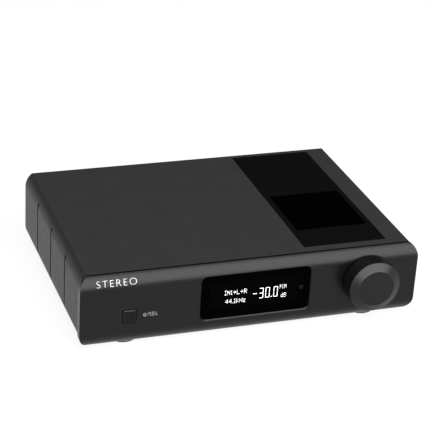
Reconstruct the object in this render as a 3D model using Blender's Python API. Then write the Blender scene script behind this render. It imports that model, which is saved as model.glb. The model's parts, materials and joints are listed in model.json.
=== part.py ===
"""Desktop digital-to-analogue converter: a low aluminium case with a thick front panel, a volume
knob, a display window and a row of sockets at the back.

Frame: +X to the right as seen from the front, +Y towards the back, +Z up. The origin lies on the
ground, under the middle of the whole device, knob and sockets included. Metres throughout.
"""

import math

import bmesh
import bpy
from mathutils import Matrix

MM = 0.001
GAP = 0.3 * MM                      # clearance between neighbouring pieces
TURN = {"X": Matrix.Rotation(math.radians(90), 3, "Y"),
        "Y": Matrix.Rotation(math.radians(-90), 3, "X"),
        "Z": Matrix.Identity(3)}

# Driving dimensions
PANEL_WIDTH = 225.0 * MM
PANEL_HEIGHT = 48.0 * MM
PANEL_THICKNESS = 4.8 * MM
CASE_DEPTH = 156.8 * MM             # front face of the panel to the rear edge of the case
FOOT_DROP = 2.8 * MM                # how far the feet stand below the front panel
KNOB_REACH = 14.5 * MM              # how far the knob stands in front of the panel
JACK_REACH = 9.0 * MM               # how far the longest sockets stand behind the case
EDGE_RUN = 4.5 * MM                 # the curved edges: how far in they come
EDGE_RISE = 9.3 * MM                # and how far from the top or the base they start
CASE_STEP = 0.9 * MM                # the panel stands this proud of the case's sides
BASE_STEP = 0.4 * MM                # and this far below its underside
TOP_STEP = 0.4 * MM                 # the case's top stands this far above the panel's
GROOVE_WIDTH, GROOVE_DEPTH = 1.6 * MM, 1.0 * MM
WALL = 2.4 * MM
ROOF = 3.0 * MM
PLATE = 2.0 * MM

FRONT_Y = KNOB_REACH - (KNOB_REACH + CASE_DEPTH + JACK_REACH) / 2
PANEL_HALF = PANEL_WIDTH / 2
CASE_HALF = PANEL_HALF - CASE_STEP


def back(distance):
    """Y of a point this far behind the panel's front face."""
    return FRONT_Y + distance


def up(height):
    """Z of a point this far above the panel's lower edge."""
    return FOOT_DROP + height


CASE_LOW = up(BASE_STEP)
CASE_HIGH = up(PANEL_HEIGHT + TOP_STEP)
CASE_FRONT = back(PANEL_THICKNESS + GAP)
CASE_BACK = back(CASE_DEPTH)
INNER_HALF = CASE_HALF - WALL
FLOOR_HALF = CASE_HALF - EDGE_RUN   # half the width of the flat underside
REAR_OUTER = CASE_BACK - 1.0 * MM   # outer face of the recessed rear plate
REAR_INNER = REAR_OUTER - PLATE
PLATE_TOP = CASE_LOW + PLATE
BOARD_LOW = PLATE_TOP + 5.3 * MM
BOARD_THICKNESS = 1.6 * MM
BOARD_TOP = BOARD_LOW + BOARD_THICKNESS

# Front panel fittings
WINDOW = {"x": 2.0 * MM, "z": up(25.5 * MM), "width": 73.2 * MM, "height": 30.5 * MM, "radius": 4.0 * MM}
LENS_RECESS = 0.8 * MM
LENS_THICKNESS = 1.5 * MM
OLED_X = 1.0 * MM
OLED_Z = up(26.4 * MM)
IR_X, IR_Z = 32.5 * MM, up(26.0 * MM)
BUTTON_X, BUTTON_Z = -80.8 * MM, up(19.3 * MM)
BUTTON_WIDTH, BUTTON_HEIGHT = 8.3 * MM, 8.9 * MM
BUTTON_PROUD = 0.5 * MM
BUTTON_TRAVEL = 0.4 * MM
KNOB_X, KNOB_Z = 78.1 * MM, up(27.2 * MM)
KNOB_RADIUS = 17.3 * MM
KNOB_FACE_RADIUS = 12.0 * MM
KNOB_WALL = 11.9 * MM               # end of the knob's straight side, in front of the panel
KNOB_CLEAR = 1.0 * MM
KNOB_HOLLOW = 14.2 * MM
SHAFT_RADIUS = 3.0 * MM
BUSH_RADIUS = 4.5 * MM

# Top glass and the window in it
GLASS_LEFT, GLASS_RIGHT = 37.3 * MM, 93.6 * MM
GLASS_FRONT, GLASS_BACK = back(11.7 * MM), back(153.4 * MM)
GLASS_THICKNESS = 1.3 * MM
VIEW_LEFT, VIEW_RIGHT = 41.1 * MM, 90.3 * MM
VIEW_FRONT, VIEW_BACK = back(35.2 * MM), back(87.0 * MM)

# Inside the case: screw channels along its corners, and stand-offs for the boards
CHANNEL_INNER, CHANNEL_OUTER = 98.0 * MM, 107.6 * MM
CHANNEL_LOW_TOP, CHANNEL_HIGH_DROP = 4.2 * MM, 3.4 * MM     # how far they reach beyond the screws
REAR_BORE, BASE_BORE = 14.0 * MM, 6.2 * MM                  # depths of the screw holes
POST_RADIUS = 3.0 * MM
MAIN_POSTS = [(x * MM, back(y * MM)) for x in (-40.0, 0.0, 50.0, 92.0) for y in (34.0, 96.0)]
POWER_POSTS = [(x * MM, back(y * MM)) for x in (-92.0, -60.0) for y in (82.0, 128.0)]

# Feet
FOOT_X = 81.0 * MM
FOOT_RADIUS = 9.0 * MM
FOOT_FRONT, FOOT_BACK = back(14.4 * MM), back(144.5 * MM)

# Rear fittings: middles of the sockets
UPPER_Z, MIDDLE_Z, LOWER_Z = up(35.0 * MM), up(24.6 * MM), up(15.8 * MM)
XLR_X = {"left": 60.0 * MM, "right": 87.5 * MM}
RCA_Z = {"left": UPPER_Z, "right": LOWER_Z + 0.6 * MM}
RCA_X = 36.0 * MM
COAX_X = 18.0 * MM
OPTICAL_X = 18.0 * MM
USB_X = 0.0
LINK_X = -19.0 * MM
TRIGGER_X = (-36.0 * MM, -46.0 * MM)
SWITCH_X = -66.0 * MM
MAINS_X = -90.0 * MM
XLR_BARREL, XLR_BORE = 11.6 * MM, 9.7 * MM
XLR_FLANGE = (26.0 * MM, 31.0 * MM)
XLR_DEPTH, XLR_DISC = 14.5 * MM, 2.5 * MM
XLR_PIN_RADIUS, XLR_PIN_OFFSET = 1.2 * MM, 3.8 * MM
RCA_BARREL, RCA_STEM = 4.15 * MM, 4.9 * MM
OPTICAL_SIDE, OPTICAL_MOUTH = 10.4 * MM, 8.4 * MM
USB_SIZE, USB_MOUTH = (12.0 * MM, 11.0 * MM), (8.5 * MM, 7.8 * MM)
LINK_SIZE, LINK_MOUTH = (15.6 * MM, 6.4 * MM), (14.0 * MM, 4.6 * MM)
MAINS_BODY, MAINS_MOUTH = (27.0 * MM, 20.0 * MM), (24.2 * MM, 16.4 * MM)
MAINS_FLANGE = (30.6 * MM, 24.0 * MM)
MAINS_DEPTH, MAINS_CHAMFER = 16.0 * MM, 3.5 * MM
BLADES = [(-7.0 * MM, 2.0 * MM), (7.0 * MM, 2.0 * MM), (0.0, -2.0 * MM)]
BLADE_SIZE = (2.0 * MM, 4.0 * MM)
SWITCH_BODY, SWITCH_MOUTH = (12.8 * MM, 19.2 * MM), (11.2 * MM, 17.6 * MM)
SWITCH_FLANGE = (15.0 * MM, 21.4 * MM)
ROCKER_TILT = 9.0                   # degrees either side of the middle
REAR_SCREW_X, REAR_SCREW_HIGH, REAR_SCREW_LOW = 104.0 * MM, up(42.3 * MM), up(6.6 * MM)
BASE_SCREW_X, BASE_SCREW_Y = 101.5 * MM, (back(36.0 * MM), back(122.0 * MM))
SCREW_RADIUS = 1.3 * MM

FINISHES = {                        # colour, roughness, metallic
    "black_anodised": ((0.035, 0.035, 0.037), 0.45, 0.8),
    "black_glass": ((0.004, 0.004, 0.005), 0.05, 0.0),
    "smoked_window": ((0.01, 0.01, 0.012), 0.08, 0.0),
    "oled_glass": ((0.02, 0.02, 0.024), 0.15, 0.0),
    "rubber": ((0.02, 0.02, 0.02), 0.9, 0.0),
    "pale_brass": ((0.62, 0.52, 0.36), 0.3, 1.0),
    "black_plastic": ((0.02, 0.02, 0.02), 0.5, 0.0),
    "nickel": ((0.55, 0.55, 0.53), 0.25, 1.0),
    "gold": ((0.8, 0.58, 0.25), 0.25, 1.0),
    "white_plastic": ((0.75, 0.74, 0.7), 0.45, 0.0),
    "red_plastic": ((0.55, 0.04, 0.03), 0.45, 0.0),
    "circuit_board": ((0.02, 0.05, 0.03), 0.5, 0.0),
    "tinned_steel": ((0.5, 0.5, 0.5), 0.35, 1.0),
    "winding_tape": ((0.5, 0.35, 0.1), 0.5, 0.0),
    "blue_sleeve": ((0.03, 0.06, 0.2), 0.4, 0.0),
}


def clear_scene():
    for thing in list(bpy.data.objects):
        bpy.data.objects.remove(thing, do_unlink=True)


def finish(name):
    """The named finish as a Principled material, made once."""
    if name in bpy.data.materials:
        return bpy.data.materials[name]
    colour, roughness, metallic = FINISHES[name]
    material = bpy.data.materials.new(name)
    material.use_nodes = True
    shader = material.node_tree.nodes["Principled BSDF"]
    shader.inputs["Base Color"].default_value = (*colour, 1.0)
    shader.inputs["Roughness"].default_value = roughness
    shader.inputs["Metallic"].default_value = metallic
    return material


# Outlines

def arc(centre, radius, start, end, steps):
    """Points of an arc; the angles are in degrees."""
    angles = [math.radians(start + (end - start) * i / steps) for i in range(steps + 1)]
    return [(centre[0] + radius * math.cos(a), centre[1] + radius * math.sin(a)) for a in angles]


def edge_arc(run, rise):
    """Radius and sweep, in degrees, of an arc that leaves an upright side and comes in by run over rise."""
    sweep = 2 * math.atan2(run, rise)
    return rise / math.sin(sweep), math.degrees(sweep)


def case_outline(half, low, high, steps=9):
    """Case seen from the front: upright sides that curve in towards a flat top and a flat base."""
    radius, sweep = edge_arc(EDGE_RUN, EDGE_RISE)
    right_top = arc((half - radius, high - EDGE_RISE), radius, 0, sweep, steps)
    right_low = arc((half - radius, low + EDGE_RISE), radius, -sweep, 0, steps)
    right = right_low + right_top
    return right + [(-x, z) for x, z in reversed(right)]


def rounded(width, height, radius, centre=(0.0, 0.0), steps=4):
    """A rectangle with round corners."""
    points = []
    for sx, sz, start in ((1, 1, 0), (-1, 1, 90), (-1, -1, 180), (1, -1, 270)):
        corner = (centre[0] + sx * (width / 2 - radius), centre[1] + sz * (height / 2 - radius))
        points += arc(corner, radius, start, start + 90, steps)
    return points


def polygon(radius, sides, turn=0.0):
    """A regular polygon about the origin."""
    return arc((0.0, 0.0), radius, turn, turn + 360.0, sides)[:-1]


# Solids

def solid(name, mesh, finish_name, location=(0.0, 0.0, 0.0), rotation=(0.0, 0.0, 0.0)):
    """An object from a bmesh, with round stretches shaded smooth."""
    bmesh.ops.recalc_face_normals(mesh, faces=mesh.faces)
    data = bpy.data.meshes.new(name)
    mesh.to_mesh(data)
    mesh.free()
    data.shade_smooth()
    data.set_sharp_from_angle(angle=math.radians(30))
    thing = bpy.data.objects.new(name, data)
    thing.location = location
    thing.rotation_euler = rotation
    bpy.context.scene.collection.objects.link(thing)
    data.materials.append(finish(finish_name))
    return thing


def prism(outline, low, high, axis):
    """Outline extruded along axis. Its points are (x, z) along Y, (y, z) along X and (x, y) along Z."""
    place = {"X": lambda a, b, h: (h, a, b), "Y": lambda a, b, h: (a, h, b), "Z": lambda a, b, h: (a, b, h)}
    mesh = bmesh.new()
    base = mesh.faces.new([mesh.verts.new(place[axis](a, b, low)) for a, b in outline])
    risen = bmesh.ops.extrude_face_region(mesh, geom=[base])["geom"]
    shift = place[axis](0.0, 0.0, high - low)
    bmesh.ops.translate(mesh, verts=[v for v in risen if isinstance(v, bmesh.types.BMVert)], vec=shift)
    return mesh


def block(x, y, z):
    """A box from its limits along each axis."""
    return prism([(x[0], y[0]), (x[1], y[0]), (x[1], y[1]), (x[0], y[1])], z[0], z[1], "Z")


def turned(profile, axis, sides, ring=False):
    """Profile of (distance along axis, radius) spun about axis; a ring's profile closes on itself."""
    mesh = bmesh.new()
    points = [mesh.verts.new((radius, 0.0, along)) for along, radius in profile]
    edges = [mesh.edges.new(pair) for pair in zip(points, points[1:])]
    if ring:
        edges.append(mesh.edges.new((points[-1], points[0])))
    bmesh.ops.spin(mesh, geom=points + edges, cent=(0, 0, 0), axis=(0, 0, 1), angle=math.tau,
                   steps=sides, use_merge=True)
    if not ring:
        rim = [edge for edge in mesh.edges if edge.is_boundary]
        bmesh.ops.holes_fill(mesh, edges=rim, sides=0)
    bmesh.ops.rotate(mesh, verts=mesh.verts, cent=(0, 0, 0), matrix=TURN[axis])
    return mesh


def combine(target, operation, mesh, location=(0.0, 0.0, 0.0), rotation=(0.0, 0.0, 0.0)):
    """Cut mesh out of target, join it on, or keep what they share."""
    tool = solid(f"{target.name}_{operation.lower()}_{len(target.modifiers)}", mesh, "black_plastic",
                 location, rotation)
    tool.hide_render = True
    tool.display_type = "WIRE"
    change = target.modifiers.new(tool.name, "BOOLEAN")
    change.operation = operation
    change.solver = "EXACT"
    change.object = tool


def cut(target, mesh, location=(0.0, 0.0, 0.0), rotation=(0.0, 0.0, 0.0)):
    combine(target, "DIFFERENCE", mesh, location, rotation)


def join(target, mesh, location=(0.0, 0.0, 0.0), rotation=(0.0, 0.0, 0.0)):
    combine(target, "UNION", mesh, location, rotation)


def rod(radius, low, high, axis="Y", sides=20):
    """A plain round bar between two places on its own axis."""
    return turned([(low, radius), (high, radius)], axis, sides)


def carry(piece, empty_name, place):
    """Hang a moving piece on an empty that sits on its joint's axis."""
    empty = bpy.data.objects.get(empty_name)
    if empty is None:
        empty = bpy.data.objects.new(empty_name, None)
        empty.location = place
        bpy.context.scene.collection.objects.link(empty)
        bpy.context.view_layer.update()
    piece.parent = empty
    piece.matrix_parent_inverse = empty.matrix_world.inverted()


# Case

def make_front_panel():
    """Thick plate whose edges curve in on all four sides, with its window and its holes."""
    outline = case_outline(PANEL_HALF, up(0.0), up(PANEL_HEIGHT))
    panel = solid("front_panel", prism(outline, back(0.0), back(PANEL_THICKNESS), "Y"), "black_anodised")
    radius, sweep = edge_arc(EDGE_RUN, EDGE_RISE)
    side = [(back(PANEL_THICKNESS + 1 * MM), up(PANEL_HEIGHT))]
    side += arc((back(radius), up(PANEL_HEIGHT - EDGE_RISE)), radius, 180 - sweep, 180, 9)
    side += arc((back(radius), up(EDGE_RISE)), radius, 180, 180 + sweep, 9)
    side.append((back(PANEL_THICKNESS + 1 * MM), up(0.0)))
    beyond = PANEL_HALF + 1 * MM
    combine(panel, "INTERSECT", prism(side, -beyond, beyond, "X"))
    through = (back(-1 * MM), back(PANEL_THICKNESS + 1 * MM))
    window = rounded(WINDOW["width"], WINDOW["height"], WINDOW["radius"], (WINDOW["x"], WINDOW["z"]), 5)
    cut(panel, prism(window, *through, "Y"))
    hole = rounded(BUTTON_WIDTH + 2 * GAP, BUTTON_HEIGHT + 2 * GAP, 1.4 * MM, (BUTTON_X, BUTTON_Z))
    cut(panel, prism(hole, *through, "Y"))
    cut(panel, rod(BUSH_RADIUS + GAP, *through), (KNOB_X, 0.0, KNOB_Z))


def make_upper_case():
    """Top and sides in one shell, with grooved sides, a pocket for the glass and screw channels."""
    case = solid("upper_case", prism(case_outline(CASE_HALF, CASE_LOW, CASE_HIGH), CASE_FRONT, CASE_BACK,
                                     "Y"), "black_anodised")
    inside = case_outline(INNER_HALF, PLATE_TOP, CASE_HIGH - ROOF, steps=6)
    ends = (CASE_FRONT - 1 * MM, CASE_BACK + 1 * MM)
    cut(case, prism(inside, *ends, "Y"))
    cut(case, block((-FLOOR_HALF, FLOOR_HALF), ends, (CASE_LOW - 1 * MM, PLATE_TOP + 1 * MM)))
    segment = (CASE_DEPTH - PANEL_THICKNESS) / 4
    low_channel = (PLATE_TOP + GAP, REAR_SCREW_LOW + CHANNEL_LOW_TOP)
    high_channel = (REAR_SCREW_HIGH - CHANNEL_HIGH_DROP, CASE_HIGH - ROOF + 0.5 * MM)
    run = (CASE_FRONT + 8 * MM, REAR_INNER - GAP)
    for side in (-1, 1):
        for number in (1, 2, 3):
            middle = back(PANEL_THICKNESS + number * segment)
            reach = sorted((side * (CASE_HALF - GROOVE_DEPTH), side * (CASE_HALF + 1 * MM)))
            cut(case, block(reach, (middle - GROOVE_WIDTH / 2, middle + GROOVE_WIDTH / 2),
                            (0.0, CASE_HIGH + 1 * MM)))
        reach = sorted((side * CHANNEL_INNER, side * CHANNEL_OUTER))
        for height in (low_channel, high_channel):
            join(case, block(reach, run, height))
        web = sorted((side * (CHANNEL_OUTER - 1 * MM), side * (INNER_HALF + 0.5 * MM)))
        join(case, block(web, run, (low_channel[0] + 3 * MM, low_channel[1])))
        for screw_z in (REAR_SCREW_HIGH, REAR_SCREW_LOW):
            bore = rod(SCREW_RADIUS + GAP, REAR_INNER - REAR_BORE, CASE_BACK, sides=12)
            cut(case, bore, (side * REAR_SCREW_X, 0.0, screw_z))
        for screw_y in BASE_SCREW_Y:
            bore = rod(SCREW_RADIUS + GAP, 0.0, PLATE_TOP + BASE_BORE, "Z", 12)
            cut(case, bore, (side * BASE_SCREW_X, screw_y, 0.0))
    pocket_floor = CASE_HIGH - GLASS_THICKNESS - GAP
    cut(case, block((GLASS_LEFT - GAP, GLASS_RIGHT + GAP), (GLASS_FRONT - GAP, GLASS_BACK + GAP),
                    (pocket_floor, CASE_HIGH + 1 * MM)))
    cut(case, block((VIEW_LEFT, VIEW_RIGHT), (VIEW_FRONT, VIEW_BACK),
                    (CASE_HIGH - ROOF - 1 * MM, CASE_HIGH)))


def make_top_glass():
    outline = rounded(GLASS_RIGHT - GLASS_LEFT, GLASS_BACK - GLASS_FRONT, 0.6 * MM,
                      ((GLASS_LEFT + GLASS_RIGHT) / 2, (GLASS_FRONT + GLASS_BACK) / 2), 2)
    solid("top_glass", prism(outline, CASE_HIGH - GLASS_THICKNESS, CASE_HIGH, "Z"), "black_glass")


def make_bottom_plate():
    """Flat base with stand-offs for the boards and countersunk screw holes."""
    half = FLOOR_HALF - GAP
    outline = rounded(2 * half, CASE_BACK - CASE_FRONT, 0.5 * MM, (0.0, (CASE_BACK + CASE_FRONT) / 2), 1)
    plate = solid("bottom_plate", prism(outline, CASE_LOW, PLATE_TOP, "Z"), "black_anodised")
    post_top = BOARD_LOW - GAP
    for x, y in MAIN_POSTS + POWER_POSTS:
        join(plate, rod(POST_RADIUS, PLATE_TOP - 0.5 * MM, post_top, "Z", 12), (x, y, 0.0))
    for x in (-BASE_SCREW_X, BASE_SCREW_X):
        for y in BASE_SCREW_Y:
            profile = [(CASE_LOW - 1 * MM, 2.9 * MM), (CASE_LOW + 0.5 * MM, 2.9 * MM),
                       (CASE_LOW + 1.5 * MM, SCREW_RADIUS + GAP), (PLATE_TOP + 1 * MM, SCREW_RADIUS + GAP)]
            cut(plate, turned(profile, "Z", 16), (x, y, 0.0))


def make_rear_panel():
    """Recessed plate with a cut-out for every socket."""
    outline = case_outline(INNER_HALF - GAP, PLATE_TOP + GAP, CASE_HIGH - ROOF - GAP, steps=6)
    panel = solid("rear_panel", prism(outline, REAR_INNER, REAR_OUTER, "Y"), "black_anodised")
    through = (REAR_INNER - 1 * MM, REAR_OUTER + 1 * MM)
    holes = [(x, MIDDLE_Z, XLR_BARREL, 32) for x in XLR_X.values()]
    holes += [(RCA_X, z, RCA_STEM, 16) for z in RCA_Z.values()]
    holes.append((COAX_X, UPPER_Z, RCA_STEM, 16))
    holes += [(x, LOWER_Z, 3.0 * MM, 14) for x in TRIGGER_X]
    holes += [(side * REAR_SCREW_X, z, SCREW_RADIUS, 12)
              for side in (-1, 1) for z in (REAR_SCREW_LOW, REAR_SCREW_HIGH)]
    for x, z, radius, sides in holes:
        cut(panel, rod(radius + GAP, *through, sides=sides), (x, 0.0, z))
    slots = [(OPTICAL_X, LOWER_Z, (OPTICAL_SIDE, OPTICAL_SIDE)), (USB_X, LOWER_Z, USB_SIZE),
             (LINK_X, LOWER_Z, LINK_SIZE), (MAINS_X, MIDDLE_Z, MAINS_BODY), (SWITCH_X, MIDDLE_Z, SWITCH_BODY)]
    for x, z, (width, height) in slots:
        opening = rounded(width + 2 * GAP, height + 2 * GAP, 0.6 * MM, (x, z), 2)
        cut(panel, prism(opening, *through, "Y"))


def make_feet():
    """Metal rings screwed under the plate, each with a rubber pad let into it."""
    top = CASE_LOW - GAP
    bore = FOOT_RADIUS - 2.0 * MM
    rest = 0.6 * MM
    ring = [(rest, FOOT_RADIUS - 0.3 * MM), (rest + 0.4 * MM, FOOT_RADIUS), (top, FOOT_RADIUS),
            (top, bore), (rest, bore)]
    pad = [(0.0, bore - GAP - 0.5 * MM), (0.5 * MM, bore - GAP), (top, bore - GAP)]
    for end, y in (("front", FOOT_FRONT), ("rear", FOOT_BACK)):
        for side, x in (("left", -FOOT_X), ("right", FOOT_X)):
            solid(f"foot_ring_{end}_{side}", turned(ring, "Z", 32, ring=True), "pale_brass", (x, y, 0.0))
            solid(f"foot_pad_{end}_{side}", turned(pad, "Z", 24), "rubber", (x, y, 0.0))


def make_screws():
    head = [(REAR_OUTER + GAP, 2.7 * MM), (REAR_OUTER + 1.2 * MM, 2.5 * MM), (REAR_OUTER + 1.7 * MM, 1.6 * MM)]
    profile = [(REAR_INNER - 10 * MM, SCREW_RADIUS), (REAR_OUTER + GAP, SCREW_RADIUS)] + head
    for side, x in (("left", -REAR_SCREW_X), ("right", REAR_SCREW_X)):
        for level, z in (("low", REAR_SCREW_LOW), ("high", REAR_SCREW_HIGH)):
            solid(f"rear_screw_{level}_{side}", turned(profile, "Y", 14), "tinned_steel", (x, 0.0, z))
    profile = [(CASE_LOW + 0.1 * MM, 2.5 * MM), (CASE_LOW + 0.5 * MM, 2.5 * MM),
               (CASE_LOW + 1.5 * MM, SCREW_RADIUS), (PLATE_TOP + 5 * MM, SCREW_RADIUS)]
    for side, x in (("left", -BASE_SCREW_X), ("right", BASE_SCREW_X)):
        for end, y in zip(("front", "rear"), BASE_SCREW_Y):
            solid(f"base_screw_{end}_{side}", turned(profile, "Z", 14), "tinned_steel", (x, y, 0.0))


# Front controls and display

def make_display():
    lens = rounded(WINDOW["width"] - 2 * GAP, WINDOW["height"] - 2 * GAP, WINDOW["radius"] - GAP,
                   (WINDOW["x"], WINDOW["z"]), 5)
    lens_back = LENS_RECESS + LENS_THICKNESS
    solid("display_lens", prism(lens, back(LENS_RECESS), back(lens_back), "Y"), "smoked_window")
    oled_front, oled_back = lens_back + GAP, lens_back + 2.9 * MM
    x, z = (OLED_X - 31 * MM, OLED_X + 28.6 * MM), (OLED_Z - 11.5 * MM, OLED_Z + 11.5 * MM)
    solid("oled_panel", block(x, (back(oled_front), back(oled_back)), z), "oled_glass")
    x, z = (x[0] - 2 * MM, x[1]), (z[0] - 1 * MM, z[1] + 1 * MM)
    solid("display_holder", block(x, (back(oled_back + GAP), back(11.4 * MM)), z), "black_plastic")
    profile = [(back(lens_back + GAP), 0.7 * MM), (back(lens_back + 0.8 * MM), 1.5 * MM),
               (back(5.0 * MM), 1.5 * MM)]
    receiver = solid("ir_receiver", turned(profile, "Y", 16), "black_plastic", (IR_X, 0.0, IR_Z))
    join(receiver, block((-1.8 * MM, 2.6 * MM), (back(4.8 * MM), back(11.4 * MM)), (-3 * MM, 3 * MM)),
         (IR_X, 0.0, IR_Z))
    board_z = (up(8.0 * MM), up(41.0 * MM))
    board = solid("front_board", block((-92 * MM, 90 * MM), (back(11.7 * MM), back(13.3 * MM)), board_z),
                  "circuit_board")
    cut(board, block((20 * MM, 32 * MM), (back(11 * MM), back(14 * MM)), (board_z[0] - 1 * MM, up(11 * MM))))


def make_button():
    """Square cap with a collar behind the panel, and the switch that it presses."""
    outline = rounded(BUTTON_WIDTH, BUTTON_HEIGHT, 1.2 * MM)
    cap = solid("power_button", prism(outline, -BUTTON_PROUD, 6.0 * MM, "Y"), "black_anodised",
                (BUTTON_X, back(0.0), BUTTON_Z))
    collar = rounded(BUTTON_WIDTH + 2.4 * MM, BUTTON_HEIGHT + 2.4 * MM, 1.2 * MM)
    join(cap, prism(collar, PANEL_THICKNESS + GAP, 6.4 * MM, "Y"), (BUTTON_X, back(0.0), BUTTON_Z))
    carry(cap, "power_button_slide", (BUTTON_X, back(0.0), BUTTON_Z))
    switch = solid("button_switch", block((-3 * MM, 3 * MM), (back(8.0 * MM), back(11.4 * MM)),
                                          (-3 * MM, 3 * MM)), "black_plastic", (BUTTON_X, 0.0, BUTTON_Z))
    join(switch, rod(1.7 * MM, back(7.2 * MM), back(8.5 * MM), sides=14), (BUTTON_X, 0.0, BUTTON_Z))


def make_encoder():
    """Push-and-turn encoder: body with a threaded bush, nut, shaft, and plunger behind the shaft."""
    place = (KNOB_X, back(0.0), KNOB_Z)
    rear = PANEL_THICKNESS + GAP
    body = solid("encoder_body", block((-6 * MM, 6 * MM), (rear, 11.4 * MM), (-6.2 * MM, 6.2 * MM)),
                 "tinned_steel", place)
    join(body, rod(BUSH_RADIUS, -4.4 * MM, rear + 1 * MM), place)
    bore = [(-6 * MM, SHAFT_RADIUS + GAP), (9.6 * MM, SHAFT_RADIUS + GAP)]
    cut(body, turned(bore, "Y", 20), place)
    nut = solid("encoder_nut", prism(polygon(6.6 * MM, 6), -2.3 * MM, -GAP, "Y"), "nickel", place)
    cut(nut, rod(BUSH_RADIUS + GAP, -4 * MM, 2 * MM), place)
    plunger = solid("encoder_plunger", turned([(7.4 * MM, 2.6 * MM), (8.2 * MM, 2.6 * MM),
                                               (8.8 * MM, 1.2 * MM)], "Y", 16), "black_plastic", place)
    carry(plunger, "volume_press", place)
    shaft = solid("encoder_shaft", turned([(-11.2 * MM, 2.6 * MM), (-10.8 * MM, SHAFT_RADIUS),
                                           (7.1 * MM, SHAFT_RADIUS)], "Y", 20), "nickel", place)
    cut(shaft, block((-4 * MM, 4 * MM), (-12 * MM, -5.6 * MM), (1.8 * MM, 4 * MM)), place)
    carry(shaft, "volume_turn", place)


def make_knob():
    """Cup with a straight side, a turned cone and a flat face, on a sleeve that grips the shaft."""
    place = (KNOB_X, back(0.0), KNOB_Z)
    outer = [(-KNOB_CLEAR, KNOB_RADIUS - 0.4 * MM), (-KNOB_CLEAR - 0.4 * MM, KNOB_RADIUS),
             (-KNOB_WALL, KNOB_RADIUS), (-KNOB_REACH + 0.2 * MM, KNOB_FACE_RADIUS + 0.3 * MM),
             (-KNOB_REACH, KNOB_FACE_RADIUS)]
    hub = 6.0 * MM
    knob = solid("volume_knob", turned(outer, "Y", 56), "black_anodised", place)
    hollow = [(0.0, KNOB_HOLLOW), (-9.0 * MM, KNOB_HOLLOW)]
    cut(knob, turned(hollow, "Y", 40), place)
    cut(knob, rod(hub + GAP, -11.8 * MM, 0.0, sides=24), place)
    carry(knob, "volume_turn", place)
    sleeve = solid("knob_sleeve", rod(hub, -11.5 * MM, -5.5 * MM, sides=24), "pale_brass", place)
    cut(sleeve, rod(SHAFT_RADIUS + GAP, -12.5 * MM, -5.0 * MM), place)
    carry(sleeve, "volume_turn", place)


# Rear sockets

SOCKET_FLANGE = (REAR_OUTER + GAP, REAR_OUTER + 2.3 * MM)


def make_xlr(side):
    """Balanced output: square flange, deep round bore, and three pins on an insulating disc."""
    place = (XLR_X[side], 0.0, MIDDLE_Z)
    low, high = SOCKET_FLANGE
    floor = REAR_OUTER - XLR_DEPTH
    shell = solid(f"xlr_{side}_shell", prism(rounded(*XLR_FLANGE, 3 * MM), low, high, "Y"), "nickel", place)
    join(shell, rod(XLR_BARREL, floor - 2 * MM, high - 0.5 * MM, sides=32), place)
    cut(shell, rod(XLR_BORE, floor, high + 1 * MM, sides=32), place)
    disc_top = floor + XLR_DISC
    pins = solid(f"xlr_{side}_pins", rod(XLR_BORE - GAP, floor + GAP, disc_top, sides=32), "nickel", place)
    tip = high - 1.5 * MM
    pin = [(disc_top - 1 * MM, XLR_PIN_RADIUS), (tip - 0.8 * MM, XLR_PIN_RADIUS),
           (tip, XLR_PIN_RADIUS / 2)]
    for x, z in ((-1, 0), (1, 0), (0, -1)):
        join(pins, turned(pin, "Y", 12),
             (place[0] + x * XLR_PIN_OFFSET, 0.0, place[2] + z * XLR_PIN_OFFSET))


def make_phono(name, x, z, insulator_finish):
    """Phono socket: stem, hexagonal nut and barrel in one, around an insulator with a centre hole."""
    place = (x, 0.0, z)
    tip = CASE_BACK + JACK_REACH
    profile = [(REAR_OUTER - 8 * MM, RCA_STEM), (SOCKET_FLANGE[1] - 1 * MM, RCA_STEM),
               (SOCKET_FLANGE[1] - 1 * MM, RCA_BARREL), (tip - 0.5 * MM, RCA_BARREL),
               (tip, RCA_BARREL - 0.4 * MM)]
    barrel = solid(f"{name}_socket", turned(profile, "Y", 24), "gold", place)
    join(barrel, prism(polygon(6.4 * MM, 6, turn=30.0), *SOCKET_FLANGE, "Y"), place)
    cut(barrel, rod(3.4 * MM, REAR_OUTER - 6 * MM, tip + 1 * MM), place)
    core = solid(f"{name}_insulator", rod(3.4 * MM - GAP, REAR_OUTER - 6 * MM + GAP, tip - 0.6 * MM),
                 insulator_finish, place)
    cut(core, rod(1.6 * MM, REAR_OUTER - 3 * MM, tip + 1 * MM, sides=14), place)


def make_optical():
    """Square optical socket with a sprung shutter hung from the top of its mouth."""
    place = (OPTICAL_X, 0.0, LOWER_Z)
    face = REAR_OUTER + 0.8 * MM
    half, mouth = OPTICAL_SIDE / 2, OPTICAL_MOUTH / 2
    body = solid("optical_socket", block((-half, half), (REAR_INNER - 9 * MM, face), (-half, half)),
                 "black_plastic", place)
    cut(body, block((-mouth, mouth), (face - 9 * MM, face + 1 * MM), (-mouth, mouth)), place)
    pivot = (OPTICAL_X, face - 0.9 * MM, LOWER_Z + mouth - 0.9 * MM)
    flap = block((GAP - mouth, mouth - GAP), (-0.4 * MM, 0.4 * MM), (-7.1 * MM, 0.35 * MM))
    shutter = solid("optical_shutter", flap, "black_plastic", pivot)
    carry(shutter, "optical_shutter_pivot", pivot)


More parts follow.
